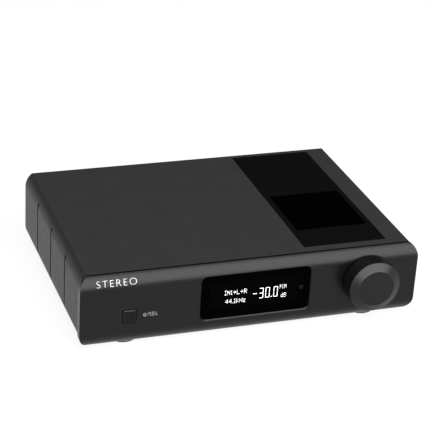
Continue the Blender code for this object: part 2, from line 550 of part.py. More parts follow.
def make_digital_sockets():
    """Square data input, flat digital link and two small trigger jacks."""
    place = (USB_X, 0.0, LOWER_Z)
    face = REAR_OUTER + 0.6 * MM
    floor = face - 11 * MM
    shell = solid("usb_socket", prism(rounded(*USB_SIZE, 0.5 * MM), floor - 3 * MM, face, "Y"),
                  "tinned_steel", place)
    width, height = USB_MOUTH
    mouth = [(-width / 2, -height / 2), (width / 2, -height / 2), (width / 2, height / 2 - 1.6 * MM),
             (width / 2 - 1.6 * MM, height / 2), (1.6 * MM - width / 2, height / 2),
             (-width / 2, height / 2 - 1.6 * MM)]
    cut(shell, prism(mouth, floor, face + 1 * MM, "Y"), place)
    join(shell, block((-2.8 * MM, 2.8 * MM), (floor - 1 * MM, face - 1.2 * MM), (-1.6 * MM, 1.6 * MM)), place)
    place = (LINK_X, 0.0, LOWER_Z)
    floor = face - 9 * MM
    shell = solid("link_socket", prism(rounded(*LINK_SIZE, 0.5 * MM), floor - 2 * MM, face, "Y"),
                  "tinned_steel", place)
    cut(shell, prism(rounded(*LINK_MOUTH, 0.8 * MM, steps=2), floor, face + 1 * MM, "Y"), place)
    join(shell, block((-5.5 * MM, 5.5 * MM), (floor - 1 * MM, face - 1 * MM), (-0.3 * MM, 1.1 * MM)), place)
    place = (0.0, 0.0, LOWER_Z)
    half = 3.5 * MM
    jacks = solid("trigger_jacks", block((min(TRIGGER_X) - half, max(TRIGGER_X) + half),
                                         (REAR_INNER - 12 * MM, REAR_INNER - GAP), (-half, half)),
                  "black_plastic", place)
    for x in TRIGGER_X:
        join(jacks, rod(3.0 * MM, REAR_INNER - 2 * MM, REAR_OUTER + 0.8 * MM, sides=18), (x, 0.0, LOWER_Z))
        cut(jacks, rod(1.8 * MM, REAR_INNER - 10 * MM, REAR_OUTER + 2 * MM, sides=14), (x, 0.0, LOWER_Z))


def make_mains_inlet():
    """Three-blade appliance inlet with its shroud; the blades stand on an insulating back plate."""
    place = (MAINS_X, 0.0, MIDDLE_Z)
    low, high = SOCKET_FLANGE
    floor = high - MAINS_DEPTH
    inlet = solid("mains_inlet", prism(rounded(*MAINS_FLANGE, 2 * MM), low, high, "Y"), "black_plastic", place)
    join(inlet, prism(rounded(*MAINS_BODY, 1 * MM, steps=2), floor - 2 * MM, high - 0.5 * MM, "Y"), place)
    width, height = MAINS_MOUTH
    chamfer = MAINS_CHAMFER

    def mouth(shrink):
        half, tall = width / 2 - shrink, height / 2 - shrink
        return [(-half, -tall), (half, -tall), (half, tall - chamfer), (half - chamfer, tall),
                (chamfer - half, tall), (-half, tall - chamfer)]

    cut(inlet, prism(mouth(0.0), floor, high + 1 * MM, "Y"), place)
    blades = solid("mains_blades", prism(mouth(GAP), floor + GAP, floor + 1.8 * MM, "Y"), "nickel", place)
    wide, tall = BLADE_SIZE
    for x, z in BLADES:
        blade = block((x - wide / 2, x + wide / 2), (floor + 1 * MM, high - 1.5 * MM),
                      (z - tall / 2, z + tall / 2))
        join(blades, blade, place)


def make_mains_switch():
    """Rocker switch, with the rocker at the end of its swing."""
    place = (SWITCH_X, 0.0, MIDDLE_Z)
    low, high = SOCKET_FLANGE
    frame = solid("power_switch_frame", prism(rounded(*SWITCH_FLANGE, 1.2 * MM), low, high, "Y"),
                  "black_plastic", place)
    join(frame, prism(rounded(*SWITCH_BODY, 0.6 * MM, steps=2), high - 12 * MM, high - 0.5 * MM, "Y"), place)
    cut(frame, prism(rounded(*SWITCH_MOUTH, 0.4 * MM, steps=2), high - 8 * MM, high + 1 * MM, "Y"), place)
    pivot = (SWITCH_X, high - 3.2 * MM, MIDDLE_Z)
    half = SWITCH_MOUTH[0] / 2 - GAP
    side = [(2.6, 8.2), (1.4, 0.0), (2.6, -8.2), (-1.0, -7.6), (-2.5, -3.0), (-2.5, 3.0), (-1.0, 7.6)]
    rocker = solid("power_switch_rocker", prism([(y * MM, z * MM) for y, z in side], -half, half, "X"),
                   "black_plastic", pivot, (math.radians(ROCKER_TILT), 0.0, 0.0))
    carry(rocker, "power_switch_pivot", pivot)


# Inside

def make_boards():
    low, high = BOARD_LOW, BOARD_TOP
    above = BOARD_TOP + GAP
    solid("main_board", block((-44 * MM, 97.4 * MM), (back(26 * MM), back(150 * MM)), (low, high)),
          "circuit_board")
    solid("power_board", block((-97.4 * MM, -52 * MM), (back(74 * MM), back(134 * MM)), (low, high)),
          "circuit_board")
    solid("converter_module", block((44 * MM, 88 * MM), (back(38 * MM), back(84 * MM)), (above, up(24 * MM))),
          "circuit_board")
    can = [(above, 7.6 * MM), (above + 0.6 * MM, 8.0 * MM), (up(34.4 * MM), 8.0 * MM), (up(35 * MM), 7.4 * MM)]
    solid("capacitor", turned(can, "Z", 20), "blue_sleeve", (-75 * MM, back(100 * MM), 0.0))


def make_transformer():
    """Ring transformer on the base, held down by a bolt and a washer."""
    place = (-72.0 * MM, back(45.0 * MM), 0.0)
    low, high = PLATE_TOP + GAP, PLATE_TOP + 24 * MM
    outer, inner, soft = 23.0 * MM, 7.0 * MM, 4.0 * MM
    section = [(low, outer - soft), (low + soft, outer), (high - soft, outer), (high, outer - soft),
               (high, inner + soft), (high - soft, inner), (low + soft, inner), (low, inner + soft)]
    solid("ring_transformer", turned(section, "Z", 28, ring=True), "winding_tape", place)
    bolt = [(low, 2.5 * MM), (high + GAP, 2.5 * MM), (high + GAP, 13 * MM), (high + 1.8 * MM, 13 * MM),
            (high + 1.8 * MM, 4 * MM), (high + 5 * MM, 4 * MM)]
    solid("transformer_bolt", turned(bolt, "Z", 20), "tinned_steel", place)


def make_ribbon_cable():
    """Flat cable that drops in an S from the front board to the main board."""
    start, end = (13.3 * MM + GAP, 24.0 * MM), (44.0 * MM, BOARD_TOP + GAP - up(0.0))
    steps = 12
    lower = []
    for i in range(steps + 1):
        share = i / steps
        height = end[1] + (start[1] - end[1]) * (1 + math.cos(math.pi * share)) / 2
        lower.append((back(start[0] + (end[0] - start[0]) * share), up(height)))
    upper = [(y, z + 0.9 * MM) for y, z in reversed(lower)]
    solid("ribbon_cable", prism(lower + upper, -18 * MM, 0.0, "X"), "white_plastic")


clear_scene()
make_front_panel()
make_upper_case()
make_top_glass()
make_bottom_plate()
make_rear_panel()
make_feet()
make_screws()
make_display()
make_button()
make_encoder()
make_knob()
for channel in XLR_X:
    make_xlr(channel)
make_phono("rca_left", RCA_X, RCA_Z["left"], "white_plastic")
make_phono("rca_right", RCA_X, RCA_Z["right"], "red_plastic")
make_phono("coaxial", COAX_X, UPPER_Z, "black_plastic")
make_optical()
make_digital_sockets()
make_mains_inlet()
make_mains_switch()
make_boards()
make_transformer()
make_ribbon_cable()
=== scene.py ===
"""Looks of the desktop converter: fine shells, glass, figures, sockets and finishes around its CAD frame."""

import json
import math

import bmesh
import bpy
from mathutils import Matrix, Quaternion, Vector


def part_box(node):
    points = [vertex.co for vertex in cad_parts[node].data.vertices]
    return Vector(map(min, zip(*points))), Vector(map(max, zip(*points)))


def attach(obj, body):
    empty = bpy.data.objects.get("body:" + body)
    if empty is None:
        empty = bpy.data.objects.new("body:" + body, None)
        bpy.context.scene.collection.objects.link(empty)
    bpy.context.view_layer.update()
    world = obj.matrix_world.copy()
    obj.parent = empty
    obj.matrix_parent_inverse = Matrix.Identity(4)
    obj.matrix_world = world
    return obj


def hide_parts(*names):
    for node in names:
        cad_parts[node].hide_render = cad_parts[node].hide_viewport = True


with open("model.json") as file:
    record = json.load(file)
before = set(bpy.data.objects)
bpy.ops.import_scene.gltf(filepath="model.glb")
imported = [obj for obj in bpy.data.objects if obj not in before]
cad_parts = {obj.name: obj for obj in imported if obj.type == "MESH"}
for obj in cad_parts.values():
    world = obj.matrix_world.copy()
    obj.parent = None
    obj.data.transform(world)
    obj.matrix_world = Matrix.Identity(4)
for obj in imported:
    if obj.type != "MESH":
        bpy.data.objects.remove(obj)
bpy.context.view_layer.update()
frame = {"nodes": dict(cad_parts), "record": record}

MM = 0.001
GAP = 0.3 * MM                               # clearance between one part and the next
PAST = 1 * MM                                # how far a cutting shape reaches past what it cuts
NEAR, SLACK = 0.05 * MM, 0.02 * MM           # how close to a surface counts as on it
WELD = 0.001 * MM                            # points closer than this are one point

EDGE_RUN, EDGE_RISE = 4.5 * MM, 9.3 * MM     # the curved edges: how far in, over how far up
ARC_STEPS = 24
WALL, ROOF, PLATE = 2.4 * MM, 3.0 * MM, 2.0 * MM
GROOVES, GROOVE_WIDTH, GROOVE_DEPTH = 3, 1.9 * MM, 1.0 * MM
STEP_DEPTH = 0.35 * MM                       # rebate round the case behind the front panel
SOFT_EDGE = 0.15 * MM                        # the fine break on machined edges
FINE_CREASE, CREASE, COARSE_CREASE = 28.0, 35.0, 50.0   # degrees above which an edge counts as sharp
INK_THICK, INK_SUNK = 0.04 * MM, 0.005 * MM

TURN = {"X": Matrix.Rotation(math.radians(90), 3, "Y"),
        "Y": Matrix.Rotation(math.radians(-90), 3, "X"),
        "Z": Matrix.Identity(3)}


def middle(node):
    """Centre of a CAD node's box."""
    low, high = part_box(node)
    return (low + high) / 2


PANEL_LOW, PANEL_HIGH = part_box("front_panel")
CASE_LOW, CASE_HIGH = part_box("upper_case")
LENS_LOW, LENS_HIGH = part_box("display_lens")
BUTTON_LOW, BUTTON_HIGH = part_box("power_button")
LENS, BUTTON, KNOB = middle("display_lens"), middle("power_button"), middle("volume_knob")
FRONT_Y = PANEL_LOW.y
REAR_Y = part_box("rear_panel")[1].y
PANEL_THICKNESS = PANEL_HIGH.y - PANEL_LOW.y
PANEL_HALF, CASE_HALF = PANEL_HIGH.x, CASE_HIGH.x
PLATE_TOP = CASE_LOW.z + PLATE

WINDOW_CENTRE = (LENS.x, LENS.z)
WINDOW_SIZE = (LENS_HIGH.x - LENS_LOW.x + 2 * GAP, LENS_HIGH.z - LENS_LOW.z + 2 * GAP)
WINDOW_CORNER, WINDOW_LIP = 4.0 * MM, 0.6 * MM
BUTTON_SIZE = (8.3 * MM, 8.9 * MM)
BUTTON_CORNER, BUTTON_HOLE_CORNER = 1.2 * MM, 1.4 * MM
SHAFT_BORE = 4.8 * MM                        # radius of the hole behind the knob


def back(distance):
    """Y of a point this far behind the panel's front face."""
    return FRONT_Y + distance


# ---------------------------------------------------------------- outlines

def arc(centre, radius, start, end, steps):
    """Points of an arc; the angles are in degrees."""
    angles = [math.radians(start + (end - start) * i / steps) for i in range(steps + 1)]
    return [(centre[0] + radius * math.cos(a), centre[1] + radius * math.sin(a)) for a in angles]


def edge_arc():
    """Radius and sweep, in degrees, of the arc from an upright side in to the case's top or base."""
    sweep = 2 * math.atan2(EDGE_RUN, EDGE_RISE)
    return EDGE_RISE / math.sin(sweep), math.degrees(sweep)


def case_outline(half, low, high, steps=ARC_STEPS):
    """Case seen from the front: upright sides that curve in towards a flat top and a flat base."""
    radius, sweep = edge_arc()
    right = arc((half - radius, low + EDGE_RISE), radius, -sweep, 0, steps)
    right += arc((half - radius, high - EDGE_RISE), radius, 0, sweep, steps)
    return right + [(-x, z) for x, z in reversed(right)]


def rounded(width, height, radius, centre=(0.0, 0.0), steps=8):
    """A rectangle with round corners."""
    points = []
    for sx, sz, start in ((1, 1, 0), (-1, 1, 90), (-1, -1, 180), (1, -1, 270)):
        corner = (centre[0] + sx * (width / 2 - radius), centre[1] + sz * (height / 2 - radius))
        points += arc(corner, radius, start, start + 90, steps)
    return points


def hexagon(radius, turn=0.0):
    """A regular hexagon round the origin; radius reaches its corners."""
    return arc((0.0, 0.0), radius, turn, turn + 360.0, 6)[:-1]


# ---------------------------------------------------------------- solids

def prism(outline, low, high, axis):
    """Outline extruded along axis. Its points are (x, z) along Y, (y, z) along X and (x, y) along Z."""
    orders = {"X": lambda a, b, h: (h, a, b), "Y": lambda a, b, h: (a, h, b), "Z": lambda a, b, h: (a, b, h)}
    order = orders[axis]
    mesh = bmesh.new()
    base = mesh.faces.new([mesh.verts.new(order(a, b, low)) for a, b in outline])
    risen = bmesh.ops.extrude_face_region(mesh, geom=[base])["geom"]
    verts = [v for v in risen if isinstance(v, bmesh.types.BMVert)]
    bmesh.ops.translate(mesh, verts=verts, vec=order(0.0, 0.0, high - low))
    bmesh.ops.recalc_face_normals(mesh, faces=mesh.faces)
    return mesh


def add_loft(mesh, outline, other, low, high):
    """Adds a solid along Y whose ends are two outlines with the same number of points."""
    near = [mesh.verts.new((x, low, z)) for x, z in outline]
    far = [mesh.verts.new((x, high, z)) for x, z in other]
    mesh.faces.new(near)
    mesh.faces.new(far)
    for i in range(len(near)):
        j = (i + 1) % len(near)
        mesh.faces.new((near[i], near[j], far[j], far[i]))


def tapered(outline, other, low, high):
    """A solid along Y from one outline to another."""
    mesh = bmesh.new()
    add_loft(mesh, outline, other, low, high)
    bmesh.ops.recalc_face_normals(mesh, faces=mesh.faces)
    return mesh


def block(x, y, z):
    """A box from its limits along each axis."""
    return prism([(x[0], y[0]), (x[1], y[0]), (x[1], y[1]), (x[0], y[1])], z[0], z[1], "Z")


def turned(profile, axis, sides, ring=False):
    """Profile of (distance along axis, radius) spun about axis; a ring's profile closes on itself."""
    mesh = bmesh.new()
    points = [mesh.verts.new((radius, 0.0, along)) for along, radius in profile]
    edges = [mesh.edges.new(pair) for pair in zip(points, points[1:])]
    if ring:
        edges.append(mesh.edges.new((points[-1], points[0])))
    bmesh.ops.spin(mesh, geom=points + edges, cent=(0, 0, 0), axis=(0, 0, 1), angle=math.tau,
                   steps=sides, use_merge=True)
    if not ring:
        rim = [edge for edge in mesh.edges if edge.is_boundary]
        bmesh.ops.holes_fill(mesh, edges=rim, sides=0)
    bmesh.ops.rotate(mesh, verts=mesh.verts, cent=(0, 0, 0), matrix=TURN[axis])
    bmesh.ops.recalc_face_normals(mesh, faces=mesh.faces)
    return mesh


def rod(radius, low, high, sides=40):
    """A round bar along Y."""
    return turned([(low, radius), (high, radius)], "Y", sides)


def at(mesh, place_at):
    """mesh moved to a place."""
    bmesh.ops.translate(mesh, verts=mesh.verts, vec=Vector(place_at))
    return mesh


def add_mesh(mesh, other):
    """Adds a second bmesh to mesh."""
    data = bpy.data.meshes.new("added")
    other.to_mesh(data)
    other.free()
    mesh.from_mesh(data)
    bpy.data.meshes.remove(data)


def thing_of(name, mesh):
    """An object in the scene made from a bmesh."""
    data = bpy.data.meshes.new(name)
    mesh.to_mesh(data)
    mesh.free()
    thing = bpy.data.objects.new(name, data)
    bpy.context.scene.collection.objects.link(thing)
    return thing


def shape(name, mesh, changes=(), soften=0.0, steps=2, sharp=CREASE):
    """An object made from mesh by cuts and joins, with its edges softened and all of it applied."""
    thing = thing_of(name, mesh)
    tools = []
    for operation, tool_mesh in changes:
        tool = thing_of(f"{name}_tool", tool_mesh)
        tool.hide_render = True
        tools.append(tool)
        change = thing.modifiers.new("change", "BOOLEAN")
        change.operation = operation
        change.solver = "EXACT"
        change.object = tool
    if soften:
        bevel = thing.modifiers.new("soften", "BEVEL")
        bevel.width = soften
        bevel.segments = steps
        bevel.limit_method = "ANGLE"
        bevel.angle_limit = math.radians(sharp)
        bevel.use_clamp_overlap = True
    bpy.context.view_layer.update()
    seen = thing.evaluated_get(bpy.context.evaluated_depsgraph_get())
    data = bpy.data.meshes.new_from_object(seen)
    data.name = name
    thing.modifiers.clear()
    thing.data = data
    for tool in tools:
        bpy.data.objects.remove(tool, do_unlink=True)
    data.shade_smooth()
    data.set_sharp_from_angle(angle=math.radians(max(sharp, CREASE)))
    even = thing.modifiers.new("even", "WEIGHTED_NORMAL")
    even.keep_sharp = True
    even.weight = 100
    return thing


def cut(mesh):
    """A change for shape() that takes mesh away."""
    return ("DIFFERENCE", mesh)


def join(mesh):
    """A change for shape() that adds mesh."""
    return ("UNION", mesh)


# ---------------------------------------------------------------- materials

def nodes_of(name):
    """A new material with its node tree and its main shader."""
    made = bpy.data.materials.new(name)
    made.use_nodes = True
    tree = made.node_tree
    return made, tree, tree.nodes["Principled BSDF"]


def own_coordinates(tree):
    """The piece's own coordinates, in metres."""
    return tree.nodes.new("ShaderNodeTexCoord").outputs["Object"]


def noise(tree, scale, detail=3.0):
    """A noise texture with scale patches to a metre."""
    texture = tree.nodes.new("ShaderNodeTexNoise")
    texture.inputs["Scale"].default_value = scale
    texture.inputs["Detail"].default_value = detail
    tree.links.new(own_coordinates(tree), texture.inputs["Vector"])
    return texture.outputs["Fac"]


def spread(tree, value, low, high):
    """A noise value, whose bulk lies between 0.3 and 0.7, mapped to low..high."""
    ranged = tree.nodes.new("ShaderNodeMapRange")
    ranged.inputs["From Min"].default_value = 0.3
    ranged.inputs["From Max"].default_value = 0.7
    ranged.inputs["To Min"].default_value = low
    ranged.inputs["To Max"].default_value = high
    tree.links.new(value, ranged.inputs["Value"])
    return ranged.outputs["Result"]


def blend_colours(tree, share, first, second):
    """A colour between first and second."""
    mix = tree.nodes.new("ShaderNodeMix")
    mix.data_type = "RGBA"
    mix.inputs["A"].default_value = (*first, 1.0)
    mix.inputs["B"].default_value = (*second, 1.0)
    tree.links.new(share, mix.inputs["Factor"])
    return mix.outputs["Result"]


def mottled(tree, shader, colour, patches, detail, shade):
    """Base colour that wanders by the share shade either way."""
    share = spread(tree, noise(tree, patches, detail), 0.0, 1.0)
    darker = tuple(c * (1 - shade) for c in colour)
    lighter = tuple(min(1.0, c * (1 + shade)) for c in colour)
    tree.links.new(blend_colours(tree, share, darker, lighter), shader.inputs["Base Color"])


def uneven(tree, shader, patches, roughness, by):
    """Roughness that wanders by the given amount either way."""
    rough = spread(tree, noise(tree, patches), roughness - by, roughness + by)
    tree.links.new(rough, shader.inputs["Roughness"])


def bump(tree, shader, height, depth):
    """Fine relief, depth metres deep."""
    bumps = tree.nodes.new("ShaderNodeBump")
    bumps.inputs["Distance"].default_value = depth
    bumps.inputs["Strength"].default_value = 1.0
    tree.links.new(height, bumps.inputs["Height"])
    tree.links.new(bumps.outputs["Normal"], shader.inputs["Normal"])


def finish(name, colour, roughness, metallic=0.0, specular=0.5, grain=2500.0, depth=0.01 * MM,
           patches=60.0, shade=0.12, rough_spread=0.06):
    """A fine-grained finish whose tone and roughness wander a little over the surface."""
    made, tree, shader = nodes_of(name)
    shader.inputs["Metallic"].default_value = metallic
    shader.inputs["Specular IOR Level"].default_value = specular
    mottled(tree, shader, colour, patches, 4.0, shade)
    uneven(tree, shader, patches * 5, roughness, rough_spread)
    bump(tree, shader, noise(tree, grain, 2.0), depth)
    return made


def anodised(name, colour, roughness, specular):
    """Bead-blasted black anodised aluminium."""
    return finish(name, colour, roughness, specular=specular, grain=3000.0, depth=0.012 * MM,
                  shade=0.05, rough_spread=0.03)


def turned_finish(name, colour, roughness, specular, pitch=0.35 * MM, depth=0.004 * MM):
    """Lathe-turned metal: fine rings about the piece's own Y axis."""
    made, tree, shader = nodes_of(name)
    shader.inputs["Specular IOR Level"].default_value = specular
    rings = tree.nodes.new("ShaderNodeTexWave")
    rings.wave_type = "RINGS"
    rings.rings_direction = "Y"
    rings.inputs["Scale"].default_value = 1.0 / (pitch * math.tau) * 2
    rings.inputs["Distortion"].default_value = 0.6
    rings.inputs["Detail"].default_value = 1.0
    tree.links.new(own_coordinates(tree), rings.inputs["Vector"])
    mottled(tree, shader, colour, 90.0, 3.0, 0.12)
    uneven(tree, shader, 400.0, roughness, 0.05)
    bump(tree, shader, rings.outputs["Fac"], depth)
    return made


def glow(name, colour, strength):
    """Lit display figures, with a slightly uneven brightness."""
    made, tree, shader = nodes_of(name)
    shader.inputs["Roughness"].default_value = 0.4
    shader.inputs["Emission Strength"].default_value = strength
    share = spread(tree, noise(tree, 700.0), 0.0, 1.0)
    mixed = blend_colours(tree, share, tuple(c * 0.9 for c in colour), colour)
    tree.links.new(mixed, shader.inputs["Base Color"])
    tree.links.new(mixed, shader.inputs["Emission Color"])
    return made


def times(tree, first, second):
    """The product of two values."""
    product = tree.nodes.new("ShaderNodeMath")
    product.operation = "MULTIPLY"
    tree.links.new(first, product.inputs[0])
    tree.links.new(second, product.inputs[1])
    return product.outputs["Value"]


def zone(tree, axis, low, high):
    """1 between low and high along axis, in the piece's own coordinates, falling softly to 0 outside."""
    soft = 0.25 * MM
    split = tree.nodes.new("ShaderNodeSeparateXYZ")
    tree.links.new(own_coordinates(tree), split.inputs["Vector"])
    edges = []
    for start, end in ((low - soft, low + soft), (high + soft, high - soft)):
        ramp = tree.nodes.new("ShaderNodeMapRange")
        ramp.inputs["From Min"].default_value = start
        ramp.inputs["From Max"].default_value = end
        tree.links.new(split.outputs[axis], ramp.inputs["Value"])
        edges.append(ramp.outputs["Result"])
    return times(tree, *edges)


def zoned_glass(name, outer, inner, across, along, roughness, specular):
    """Black glass with a rectangle of another tone behind it; its spans are (axis, low, high)."""
    made, tree, shader = nodes_of(name)
    shader.inputs["Specular IOR Level"].default_value = specular
    inside = times(tree, zone(tree, *across), zone(tree, *along))
    tree.links.new(blend_colours(tree, inside, outer, inner), shader.inputs["Base Color"])
    uneven(tree, shader, 35.0, roughness, 0.02)
    bump(tree, shader, noise(tree, 120.0, 1.0), 0.001 * MM)
    return made


BLACK_METAL = anodised("black_anodised", (0.021, 0.021, 0.0215), 0.4, 0.1)
ROOF_METAL = anodised("roof_anodised", (0.021, 0.021, 0.0215), 0.4, 0.002)
PANEL_METAL = anodised("panel_anodised", (0.0015, 0.0015, 0.0016), 0.31, 0.215)
PLATE_PAINT = finish("black_powder_coat", (0.02, 0.02, 0.021), 0.55, grain=1500.0, depth=0.03 * MM)
# Near-black finish for the side grooves and the rebate behind the panel: painted shade, not a different
# metal.
RECESS_PAINTED_SHADE = finish("recess_painted_shade", (0.0015, 0.0015, 0.0015), 0.6, specular=0.03)
KNOB_SIDE = turned_finish("knob_side", (0.004, 0.004, 0.004), 0.34, 0.2)
KNOB_CONE = turned_finish("knob_cone", (0.004, 0.004, 0.004), 0.33, 0.26)
KNOB_FACE = turned_finish("knob_face", (0.003, 0.003, 0.003), 0.35, 0.2)
RUBBER = finish("foot_rubber", (0.015, 0.015, 0.015), 0.85, specular=0.3, grain=1200.0, depth=0.05 * MM)
PALE_BRASS = finish("foot_ring_brass", (0.52, 0.44, 0.31), 0.3, metallic=1.0, grain=4000.0)
BLACK_MOULDING = finish("black_moulding", (0.02, 0.02, 0.02), 0.5, grain=1800.0, depth=0.02 * MM)
NICKEL = finish("nickel_plate", (0.56, 0.55, 0.52), 0.28, metallic=1.0, grain=2000.0, depth=0.005 * MM)
GOLD = finish("gold_plate", (0.83, 0.6, 0.26), 0.22, metallic=1.0, grain=2000.0, depth=0.004 * MM)
STEEL = finish("tinned_steel", (0.5, 0.5, 0.5), 0.35, metallic=1.0, grain=2000.0, depth=0.008 * MM)
BRASS = finish("turned_brass", (0.7, 0.55, 0.28), 0.3, metallic=1.0)
WHITE_MOULDING = finish("white_moulding", (0.75, 0.74, 0.7), 0.45, shade=0.04)
RED_MOULDING = finish("red_moulding", (0.55, 0.04, 0.03), 0.45, shade=0.08)
BOARD = finish("circuit_board", (0.015, 0.045, 0.025), 0.45, patches=400.0, shade=0.35)
SLEEVE = finish("capacitor_sleeve", (0.03, 0.06, 0.2), 0.4)
TAPE = finish("winding_tape", (0.55, 0.4, 0.1), 0.5, patches=300.0, shade=0.2)
INK = finish("white_ink", (0.5, 0.5, 0.5), 0.6, grain=3500.0, shade=0.05)
LABEL_INK = finish("label_ink", (0.24, 0.24, 0.24), 0.6, grain=3500.0, shade=0.05)
BUTTON_FACE = finish("button_face", (0.0015, 0.0015, 0.0016), 0.35, specular=0.14, grain=2600.0)
# Lighter, shinier copy of the cap's finish for its bevelled rim: painted highlight.
BUTTON_RIM_HIGHLIGHT = finish("button_rim_painted_highlight", (0.004, 0.004, 0.004), 0.3, specular=0.45, grain=2600.0)
SENSOR = finish("sensor_lens", (0.0024, 0.0024, 0.0025), 0.3, specular=0.06, shade=0.2)
FIGURES = glow("display_figures", (1.0, 1.0, 1.0), 0.75)

SLOT_FINISH = {
    "black_anodised": BLACK_METAL, "black_painted_steel": PLATE_PAINT, "black_glass": BLACK_MOULDING,
    "smoked_window": BLACK_MOULDING, "oled_glass": BLACK_MOULDING, "black_plastic": BLACK_MOULDING,
    "rubber": RUBBER, "pale_brass": PALE_BRASS, "brass_sleeve": BRASS, "nickel": NICKEL,
    "gold_plate": GOLD, "tinned_steel": STEEL, "white_plastic": WHITE_MOULDING,
    "red_plastic": RED_MOULDING, "circuit_board": BOARD, "blue_sleeve": SLEEVE, "transformer_tape": TAPE,
}


def place(thing, body, slot, *materials, replaces=()):
    """Give a piece its materials, its body and the CAD nodes it stands for; the slot argument is not used.
    """
    thing.data.materials.clear()
    for made in materials:
        thing.data.materials.append(made)
    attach(thing, body)
    if replaces:
        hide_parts(*replaces)


# ---------------------------------------------------------------- case

def make_front_panel():
    """Thick plate with four curved edges, a lipped window, a button hole and a bore behind the knob."""
    outline = case_outline(PANEL_HALF, PANEL_LOW.z, PANEL_HIGH.z)
    radius, sweep = edge_arc()
    beyond = back(PANEL_THICKNESS + PAST)
    side = [(beyond, PANEL_HIGH.z)]
    side += arc((back(radius), PANEL_HIGH.z - EDGE_RISE), radius, 180 - sweep, 180, ARC_STEPS)
    side += arc((back(radius), PANEL_LOW.z + EDGE_RISE), radius, 180, 180 + sweep, ARC_STEPS)
    side.append((beyond, PANEL_LOW.z))
    across = PANEL_HALF + PAST
    through = (back(-PAST), beyond)
    window = rounded(*WINDOW_SIZE, WINDOW_CORNER, WINDOW_CENTRE)
    mouth_size = [size + 4 * WINDOW_LIP for size in WINDOW_SIZE]
    mouth = rounded(*mouth_size, WINDOW_CORNER + 2 * WINDOW_LIP, WINDOW_CENTRE)
    hole_size = [size + 3 * GAP for size in BUTTON_SIZE]
    hole = rounded(*hole_size, BUTTON_HOLE_CORNER, (BUTTON.x, BUTTON.z))
    changes = [("INTERSECT", prism(side, -across, across, "X")),
               cut(prism(window, *through, "Y")),
               cut(tapered(mouth, window, back(-WINDOW_LIP), back(WINDOW_LIP))),
               cut(prism(hole, *through, "Y")),
               cut(at(rod(SHAFT_BORE, *through), (KNOB.x, 0.0, KNOB.z)))]
    panel = shape("front_plate", prism(outline, FRONT_Y, back(PANEL_THICKNESS), "Y"), changes,
                  SOFT_EDGE, sharp=FINE_CREASE)
    place(panel, "case", "black_anodised", PANEL_METAL, replaces=["front_panel"])


def sunk(spot):
    """Whether a point lies below the case's outer surface, seen from the front."""
    radius, _ = edge_arc()
    for z, sign in ((CASE_HIGH.z - EDGE_RISE, 1), (CASE_LOW.z + EDGE_RISE, -1)):
        if sign * (spot.z - z) > 0:
            return math.hypot(abs(spot.x) - (CASE_HALF - radius), spot.z - z) < radius - NEAR
    return abs(spot.x) < CASE_HALF - NEAR


def colour_shell(shell, grooves):
    """Painted shade: near-black grooves and rebate, where the metal only lies in shadow; and a duller roof
    than the sides.
    """
    for face in shell.data.polygons:
        spot = face.center
        in_groove = min(abs(spot.y - groove) for groove in grooves) < GROOVE_WIDTH / 2 + SLACK
        in_step = spot.y < CASE_LOW.y + STEP_DEPTH + SLACK
        outside = abs(spot.x) > CASE_HALF - EDGE_RUN - GROOVE_DEPTH - NEAR
        # faces in the grooves and in the rebate take the near-black finish: painted shade
        if in_step or (in_groove and outside and sunk(spot)):
            face.material_index = 1
        elif face.normal.z > 0.999 and spot.z > CASE_HIGH.z - NEAR:
            face.material_index = 2


def hollow(ends):
    """Cuts for the shell's inside and its open base: once through the body, and again through the neck."""
    inside = case_outline(CASE_HALF - WALL, PLATE_TOP, CASE_HIGH.z - ROOF, ARC_STEPS // 2)
    floor_half = CASE_HALF - EDGE_RUN
    return [cut(prism(inside, *ends, "Y")),
            cut(block((-floor_half, floor_half), ends, (CASE_LOW.z - PAST, PLATE_TOP + PAST)))]


def make_upper_shell():
    """Top and sides in one shell: grooved sides, a recess for the glass and a rebate behind the panel."""
    front, rear = CASE_LOW.y, CASE_HIGH.y
    ends = (front - PAST, rear + PAST)
    below, above = CASE_LOW.z - PAST, CASE_HIGH.z + PAST
    segment = (rear - back(PANEL_THICKNESS)) / (GROOVES + 1)
    grooves = [back(PANEL_THICKNESS) + number * segment for number in range(1, GROOVES + 1)]
    changes = hollow(ends)
    for side in (-1, 1):
        reach = sorted((side * (CASE_HALF - GROOVE_DEPTH), side * (CASE_HALF + PAST)))
        for groove in grooves:
            width = (groove - GROOVE_WIDTH / 2, groove + GROOVE_WIDTH / 2)
            changes.append(cut(block(reach, width, (below, above))))
    low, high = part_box("top_glass")
    changes.append(cut(block((low.x - GAP, high.x + GAP), (low.y - GAP, high.y + GAP),
                             (low.z - GAP, high.z + PAST))))
    surround = case_outline(CASE_HALF + PAST, below, above)
    changes.append(cut(prism(surround, ends[0], front + STEP_DEPTH, "Y")))
    neck = case_outline(CASE_HALF - STEP_DEPTH, CASE_LOW.z + STEP_DEPTH, CASE_HIGH.z - STEP_DEPTH)
    changes.append(join(prism(neck, front, front + STEP_DEPTH + 2 * NEAR, "Y")))
    changes += hollow(ends)
    outline = case_outline(CASE_HALF, CASE_LOW.z, CASE_HIGH.z)
    shell = shape("upper_shell", prism(outline, front, rear, "Y"), changes, SOFT_EDGE, sharp=FINE_CREASE)
    # the second finish is the painted shade for the grooves and the rebate
    place(shell, "case", "black_anodised", BLACK_METAL, RECESS_PAINTED_SHADE, ROOF_METAL, replaces=["upper_case"])
    colour_shell(shell, grooves)


